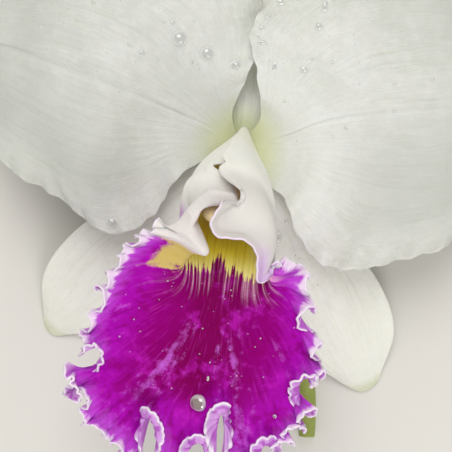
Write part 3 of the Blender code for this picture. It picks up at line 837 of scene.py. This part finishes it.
# Lip velvet: purple cells shaped like tiny cones. They give the eye a deep, soft-edged colour that
# streaks along the veins, breaks into lilac, and feathers out into the white margin. The cones are
# about 0.05 mm wide, and are drawn at 0.29 mm so that they show.
def make_lip_velvet():
    material, tree, shader, turn, rim, gold, white, walked, side = start_material(
        "lip_velvet", "turn", "from_rim_mm", "gold_mm", "white_mm", "walked_mm", "side_lobe"
    )
    # The widths of streaks are in degrees of turn round the tube.
    fibres = streaked(tree, turn, 1.818, walked, 9.091, 2.5)
    bands = streaked(tree, turn, 6.25, walked, 20.0, 3.0)
    streaks = streaked(tree, turn, 4.0, walked, 33.33)
    feathers = streaked(tree, turn, 1.333, walked, 5.0)
    mottle = mottled(tree, 2.326, 4.0, 0.65)
    blotch = mottled(tree, 8.333)
    cones = mottled(tree, 0.2857, 3.0)
    off_centre = weigh(tree, 2.0, (turn, 1.0))
    centre = add_node(tree, "ShaderNodeMath", {"operation": "ABSOLUTE"}, {0: off_centre})
    beside = where(tree, (centre, 8.0, 17.0), (centre, 36.0, 22.0), (walked, 52.0, 60.0))
    lilac = weigh(tree, bands, (mottle, 1.0), (beside, 0.2))
    magenta = weigh(tree, blotch, (mottle, 1.0))
    # The gold fills the throat and ends in streaks of different lengths.
    ragged = where(tree, weigh(tree, -0.68, (streaks, 1.0), (fibres, 0.35)), (turn, -94.0, -74.0, 9.0))
    over_centre = where(tree, (centre, 12.0, 2.0))
    gold_end = weigh(tree, -2.0, (mottle, 4.0), (ragged, 1.0), (gold, 1.0), (over_centre, -3.2))
    gold_tone = paint(
        tree,
        "#FBE652",
        ("#F6ECAE", (gold, 5.5, 0.0, 0.7)),
        ("#CFA91C", (streaks, 0.52, 0.4, 0.28)),
        ("#A98410", (fibres, 0.5, 0.36, 0.12)),
        ("#F0DDA0", (walked, 34.0, 24.0, 0.7)),
        ("#BEA868", (turn, -74.0, -86.0, 0.85)),
        ("#F0E6D2", (side, 0.2, 0.9, 0.85)),
    )
    tongues = weigh(tree, streaks, (fibres, 0.3))
    border = ((gold_end, -6.2, -0.5), (tongues, 0.58, 0.84), (turn, -82.0, -66.0, 0.58))
    white_end = weigh(tree, -3.5, (feathers, 7.0), (white, 1.0))
    fading = paint(tree, "#C05CD8", ("#DED4D3", side))
    margin = paint(tree, "#EEDCF0", ("#E4DCDA", side))
    purple = paint(
        tree,
        "#90007A",
        ("#AA0EB4", (rim, 25.0, 8.0, 0.85)),
        # Painted shade: the purple is painted darker on the lobe near the mouth, away from its rim.
        ("#760050", (walked, 60.0, 46.0), (rim, 6.0, 16.0, 0.8)),
        ("#7C0054", (centre, 48.0, 10.0), (rim, 12.0, 26.0)),
        ("#BE1EBE", (magenta, 1.0, 1.3, 0.6)),
        ("#860062", (magenta, 0.98, 0.8, 0.5)),
        ("#780056", (fibres, 0.46, 0.3, 0.45)),
        ("#C838C8", (fibres, 0.56, 0.72, 0.22)),
        ("#C26CD8", (lilac, 1.14, 1.55, 0.8)),
        ("#E8B8D4", *border),
        (gold_tone, (gold_end, -0.6, 1.0)),
        (fading, (white_end, -6.4, 0.4, 0.68)),
        (margin, (white_end, -0.9, 1.5, 0.9)),
        ("#F0E0F3", (rim, 0.5, 0.15)),
    )
    normal = relief(tree, (bands, 0.3), (fibres, 0.12), (mottle, 0.12), (cones, 0.02))
    finish = {"roughness": 0.52, "clear": 0.6, "glow": 1.5, "glow_tint": (1.0, 0.8, 0.8)}
    finish_material(tree, shader, purple, normal, **finish)
    shader.inputs["Specular IOR Level"].default_value = 0.04
    return material


# Lip back: the tissue outside the tube and under the front lobe. It gives the eye a creamy white on
# the tube and a veined lavender under the lobe, where the purple shows through. Its cells are about
# 0.05 mm wide, and are drawn at 0.33 mm so that they show.
def make_lip_back(name, lavender, vein):
    material, tree, shader, turn, rim, walked = start_material(
        name, "turn", "from_rim_mm", "walked_mm"
    )
    round_tube = add_node(tree, "ShaderNodeMath", {"operation": "ABSOLUTE"}, {0: turn})
    lobe = where(tree, (rim, 0.2, 0.8), (walked, 32.0, 46.0), (round_tube, 108.0, 92.0))
    veins = streaked(tree, turn, 0.625, walked, 3.333)
    blush = mottled(tree, 6.25, 4.0)
    cells = mottled(tree, 0.3333)
    colour = paint(
        tree,
        "#FEFDF6",
        ("#FAF8EE", blush),
        ("#E4E6B8", (walked, 16.0, 2.0, 0.35)),
        # Painted shade: the sheet's back is painted greyer beyond the mouth, on the side lobes' flaps.
        ("#DCD9D4", (walked, 31.0, 39.0)),
        ("#C6C0BE", (rim, 9.0, 3.0, 0.6)),
        ("#CBA4DC", (turn, 152.0, 128.0, 0.75), (rim, 5.5, 2.0)),
        (lavender, lobe),
        (vein, lobe, (rim, 2.6, 4.5, 0.6)),
        (vein, lobe, (veins, 0.46, 0.56, 0.85)),
        ("#F0E0F3", (rim, 0.4, 0.15)),
    )
    normal = relief(tree, (veins, 0.12), (blush, 0.1), (cells, 0.02))
    finish = {"roughness": 0.5, "clear": 0.25, "glow": 1.5, "glow_tint": (1.0, 0.9, 0.85)}
    finish_material(tree, shader, colour, normal, **finish)
    return material


lip, lip_sheet = build_lip()
lip.data.materials.append(make_lip_velvet())
lip.data.materials.append(make_lip_back("lip_back", "#CC92D8", "#A63CB4"))
lip.data.materials.append(make_lip_back("lip_edge", "#E8D4EC", "#E8D4EC"))


# ---------------------------------------------------------------- column, cap and pollen
# The column is the orchid's stamen and style grown together: a waxy ivory club in the tube's roof,
# winged at its tip. A hinged cap on its end covers four waxy yellow pollen masses.

COLUMN_LINE = [(0, 1.0, -2.4), (-0.8, -2.5, 8.4), (-2.6, -9.4, 19.8), (-5.1, -18.2, 31.6)]
COLUMN_RADII = [(1.9,), (2.5,), (3.4,), (3.9,)]


# Column, cap and pollen wax: smooth tissue under a thick cuticle. It gives the eye a warm ivory on
# the cap and the column's tip, an olive yellow down the column, a golden yellow on the pollen, and
# a wet gloss on them all. The base colour covers the column up to its outer third, and the whole
# of a cap or pollen mass.
def make_wax(name, light, dark, base, roughness):
    material, tree, shader, from_root = start_material(name, "from_root")
    tone = mottled(tree, 2.5, 3.0)
    colour = paint(tree, light, (dark, tone), (base, (from_root, 0.8, 0.6667)))
    normal = relief(tree, (tone, 0.05))
    finish = {"roughness": roughness, "clear": 0.3, "glow": 2.0, "glow_tint": (1.0, 0.8, 0.5)}
    finish_material(tree, shader, colour, normal, **finish)
    return material


def ball_points(rings, sides):
    """Unit directions over a ball, pole to pole, and the faces that close it."""
    lat = np.linspace(-np.pi / 2.0 + 0.06, np.pi / 2.0 - 0.06, rings)
    turn = np.linspace(0.0, 2.0 * np.pi, sides, endpoint=False)
    points = np.stack(
        [
            np.cos(lat)[:, None] * np.cos(turn)[None, :],
            np.cos(lat)[:, None] * np.sin(turn)[None, :],
            np.repeat(np.sin(lat)[:, None], sides, axis=1),
        ],
        -1,
    ).reshape(-1, 3)
    faces = grid_faces(rings, sides, closed=True)
    faces.append(list(range(sides))[::-1])
    faces.append(list(range((rings - 1) * sides, rings * sides)))
    return points, faces


def build_column():
    unit_points, faces = ball_points(60, 48)
    t = (unit_points[:, 2] + 1.0) / 2.0
    ring = np.maximum(np.hypot(unit_points[:, 0], unit_points[:, 1]), 1e-6)
    radius = through(COLUMN_RADII, t)[:, 0] * (1.0 - (2.0 * t - 1.0) ** 8) ** 0.5
    turn = np.arctan2(unit_points[:, 1], unit_points[:, 0])
    wing = 1.0 + 0.16 * ease(t, 0.55, 0.9) * np.cos(2.0 * turn)
    keel = -0.5 * ease(t, 0.7, 0.92) * bell(turn + np.pi / 2.0, 0.5)
    reach = radius * wing + keel
    points = through(COLUMN_LINE, t)
    points[:, 0] += reach * unit_points[:, 0] / ring
    points -= (0.8 * reach * unit_points[:, 1] / ring)[:, None] * TUBE_DOWN
    piece = make_piece("column_club", points, faces, {"from_root": t}, ["column"])
    piece.data.materials.append(make_wax("column_wax", "#F8EED8", "#EEDCB8", "#B4AA3C", 0.38))


build_column()

CAP_MIDDLE = np.array(COLUMN_LINE[-1]) + 0.45 * TUBE_AHEAD
CAP_RADIUS = 3.0


def build_cap():
    unit_points, faces = ball_points(40, 40)
    x, y, z = unit_points.T
    lobed = 1.0 - 0.08 * bell(x, 0.16) * ease(z, 0.0, 0.5)
    hollow = np.where(z < 0.0, -0.55 * z, z)
    points = CAP_MIDDLE + CAP_RADIUS * lobed[:, None] * (
        x[:, None] * TUBE_SIDE
        - 0.85 * y[:, None] * TUBE_DOWN
        + hollow[:, None] * TUBE_AHEAD
    )
    piece = make_piece("anther_cap_lid", points, faces, {}, ["anther_cap"])
    piece.data.materials.append(make_wax("cap_wax", "#EEDFC4", "#DFC99E", "#DFC99E", 0.35))


build_cap()

POLLEN_SIZE = (0.62, 0.45, 0.85)
# Two pairs of pollen masses, by how far each is to the right and how high in the cap.
POLLEN_PLACES = [(-0.85, 0.62), (0.85, 0.62), (-0.85, -0.62), (0.85, -0.62)]
pollen_wax = make_wax("pollen_wax", "#F0C440", "#D99A20", "#D99A20", 0.3)
for number, (right, high) in enumerate(POLLEN_PLACES, 1):
    unit_points, faces = ball_points(14, 20)
    squared = unit_points * np.array(POLLEN_SIZE) * (1.0 - 0.12 * abs(unit_points[:, :1]))
    centre = CAP_MIDDLE + right * TUBE_SIDE - high * TUBE_DOWN + 0.95 * TUBE_AHEAD
    points = (
        centre
        + squared[:, :1] * TUBE_SIDE
        - squared[:, 1:2] * TUBE_DOWN
        + squared[:, 2:] * TUBE_AHEAD
    )
    mass = make_piece(
        f"pollen_mass_{number}", points, faces, {}, [f"pollinium_{number}"]
    )
    mass.data.materials.append(pollen_wax)


# ---------------------------------------------------------------- rain
# Rain stands on the flower in round drops, on wax that water hardly wets. Each is a low dome of
# water, a little over a third as high as it is wide, with its foot set into the tissue.

# The larger drops on each piece: where each stands, and half its width and its length.
RAIN = {
    "petal_left": [
        (-20.7, 25.7, 2.3, 2.1), (-13.5, 23.0, 2.1, 2.0), (-5.0, 20.8, 1.7, 1.2),
        (-31.6, -24.6, 1.8, 1.6), (-23.6, 29.6, 0.8, 0.7), (-30.4, 20.4, 0.9, 0.8),
        (-33.8, 21.8, 0.7, 0.6), (-52.0, 33.2, 0.9, 0.7), (-44.5, 31.5, 0.6, 0.6),
        (-39.5, 35.0, 0.6, 0.5), (-48.0, 26.6, 0.5, 0.5), (-16.9, 20.4, 0.6, 0.5),
    ],
    "petal_right": [
        (15.6, 38.8, 0.9, 1.6), (14.6, 33.3, 1.2, 1.1), (12.7, 21.9, 1.3, 1.0),
        (0.9, 27.6, 1.3, 0.6), (5.0, 21.6, 0.7, 1.4), (4.0, 38.2, 1.4, 0.9),
        (1.6, 34.0, 1.0, 0.6), (0.4, 31.1, 1.1, 0.7), (24.5, 30.7, 0.4, 0.4),
        (27.1, 25.5, 0.4, 0.4), (8.6, 39.4, 1.0, 0.8), (46.0, 24.0, 0.6, 0.5),
    ],
    "lateral_sepal_right": [(12.7, -22.8, 1.1, 1.9), (14.4, -17.8, 0.6, 0.7)],
    "lip": [
        (-2.3, -65.0, 2.4, 2.1), (-1.2, -58.5, 0.35, 0.6),
        (16.6, -66.0, 0.5, 0.5), (20.0, -69.5, 0.4, 0.4),
    ],
}
# The fine spray between them: how many drops, their middle, their spread, and the most that half
# the width of one is over the smallest's.
SPRAY = {
    "petal_left": (60, (-45, 30), (22, 14), 0.45),
    "petal_right": (50, (12, 32), (14, 12), 0.45),
    "lateral_sepal_right": (12, (18, -30), (8, 8), 0.3),
    "lip": (45, (-2, -48), (14, 10), 0.12),
}
SMALLEST_DROP = 0.08
# A drop whose place is farther than this from the sheet has nothing to stand on.
OFF_THE_SHEET = 1.0
DOME_RISE = 0.75
DOME_FOOT = 0.2


# Rain water: nothing but water. It gives the eye bright points of sky, a glassy rim that is a painted
# highlight and greys that are painted reflection, and is drawn as a thin film, because what lies under
# so small a drop is hardly bent. Over dark velvet the film is duller and less clear, and its painted
# reflection darker.
def make_rain(name, clear, painted_dark_reflection, film):
    material, tree, shader, to_rim = start_material(name, "to_rim")
    tone = mottled(tree, 3.333)
    # The grey tones are painted reflection, and the white towards each drop's rim is a painted
    # highlight.
    colour = paint(tree, clear, (painted_dark_reflection, tone), ("#FFFFFF", (to_rim, 0.55, 0.85)))
    normal = relief(tree, (tone, 0.03))
    finish = {"roughness": 0.03, "clear": 0.0, "glow": 1.0, "glow_tint": (1.0, 1.0, 1.0)}
    finish_material(tree, shader, colour, normal, **finish)
    shader.inputs["Coat Weight"].default_value = 1.0
    shader.inputs["Coat IOR"].default_value = 3.0
    shader.inputs["Alpha"].default_value = film
    return material


# Their greys are painted reflection: pale over the petals' wax, dark olive over the velvet.
on_wax = make_rain("rain_water", "#C2C7C6", "#AEB4B3", 0.36)
on_velvet = make_rain("rain_water_on_velvet", "#B9B5A2", "#55513F", 0.62)
# What each piece's rain stands on: its slot, its water, its sheet and how thick that is.
UNDER_RAIN = {
    "petal_left": ("petal", on_wax, petal_sheets["petal_left"], PETAL_THICKNESS),
    "petal_right": ("petal", on_wax, petal_sheets["petal_right"], PETAL_THICKNESS),
    "lateral_sepal_right": (
        "sepal", on_wax, sepal_sheets["lateral_sepal_right"], SEPAL_THICKNESS
    ),
    "lip": ("lip", on_velvet, lip_sheet, LIP_THICKNESS),
}
dome, dome_faces = ball_points(11, 18)
dome[:, 2] = np.where(dome[:, 2] < 0.0, DOME_FOOT, DOME_RISE) * dome[:, 2]
for seed, (host, drops) in enumerate(RAIN.items(), 81):
    slot, water, surface, thickness = UNDER_RAIN[host]
    sheet, facing = (part.reshape(-1, 3) for part in surface)
    rng = np.random.default_rng(seed)
    count, middle, spread, growth = SPRAY[host]
    places = rng.normal(middle, spread, (count, 2))
    sizes = growth * rng.uniform(0.25, 1.0, (count, 1)) ** 2 + SMALLEST_DROP
    spray = np.hstack([places, sizes, sizes])
    points, faces, rings = [], [], []
    for x, y, wide, tall in np.vstack([drops, spray]):
        gap = np.hypot(sheet[:, 0] - x, sheet[:, 1] - y)
        nearest = gap.argmin()
        if gap[nearest] > OFF_THE_SHEET:
            continue
        up = facing[nearest]
        right = unit(np.cross([0.0, 1.0, 0.0], up))
        size = np.array([wide, tall, min(wide, tall)])
        foot = sheet[nearest] + up * thickness / 2.0
        faces += [[corner + len(points) * len(dome) for corner in face] for face in dome_faces]
        points.append(foot + (dome * size) @ np.stack([right, np.cross(up, right), up]))
        # The smallest drops are all glint.
        rings.append(np.hypot(dome[:, 0], dome[:, 1]) + 0.6 * ease(-wide, -0.5, -0.25))
    to_rim = {"to_rim": np.concatenate(rings)}
    rain = make_piece("rain_on_" + host, np.concatenate(points), faces, to_rim, [])
    rain.data.materials.append(water)


# ---------------------------------------------------------------- floor, light and camera
# A plain matt floor, a broad soft lamp over the dorsal side and a smaller one low on the lip's side,
# and the camera looking straight down into the flower, rolled a little, 300 mm over its heart.

# The floor and the lamps are in metres, and the camera's place is in millimetres.
FLOOR_HALF = 2.0
CAMERA_OVER_HEART = np.array([-1.9, -21.5, 300.0])
CAMERA_ROLL = math.radians(8.0)
CAMERA_LENS = 88.5

corners = [(-1, -1), (1, -1), (1, 1), (-1, 1)]
floor_mesh = bpy.data.meshes.new("floor")
floor_mesh.from_pydata([(FLOOR_HALF * x, FLOOR_HALF * y, 0) for x, y in corners], [], [(0, 1, 2, 3)])
floor = bpy.data.objects.new("floor", floor_mesh)
bpy.context.scene.collection.objects.link(floor)
# Floor paper: matt, uncoated card. It gives the eye a plain pale grey with no grain or shine.
floor_material, _, floor_shader = start_material("floor_paper")
floor_shader.inputs["Base Color"].default_value = linear("#D9D7D1")
floor_shader.inputs["Roughness"].default_value = 0.9
floor_mesh.materials.append(floor_material)


def add_lamp(name, place, target, size, power, colour):
    light = bpy.data.lights.new(name, "AREA")
    light.shape = "DISK"
    light.size = size
    light.energy = power
    light.color = colour
    lamp = bpy.data.objects.new(name, light)
    lamp.location = place
    lamp.rotation_euler = (Vector(target) - Vector(place)).to_track_quat("-Z", "Y").to_euler()
    bpy.context.scene.collection.objects.link(lamp)


LAMPS = {
    "high_window": {"place": (-0.1, 0.32, 0.65), "target": (0, 0, 0.03), "size": 0.5, "power": 2.3,
                    "colour": (1.0, 0.99, 0.97)},
    "low_window": {"place": (0.2, -0.48, 0.4), "target": (0, -0.01, 0.03), "size": 0.35, "power": 1.4,
                   "colour": (1.0, 0.99, 0.96)},
}
for name, lamp in LAMPS.items():
    add_lamp(name, **lamp)

world = bpy.data.worlds.new("pale_room")
world.use_nodes = True
room = world.node_tree.nodes["Background"]
room.inputs["Color"].default_value = (1.0, 0.99, 0.96, 1.0)
room.inputs["Strength"].default_value = 0.6
bpy.context.scene.world = world
bpy.context.scene.view_settings.view_transform = "Standard"

camera_data = bpy.data.cameras.new("camera")
camera_data.sensor_width = 36.0
camera_data.lens = CAMERA_LENS
camera = bpy.data.objects.new("camera", camera_data)
camera.location = Vector(((HEART + CAMERA_OVER_HEART) * MM).tolist())
camera.rotation_euler = (0.0, 0.0, CAMERA_ROLL)
bpy.context.scene.collection.objects.link(camera)
bpy.context.scene.camera = camera
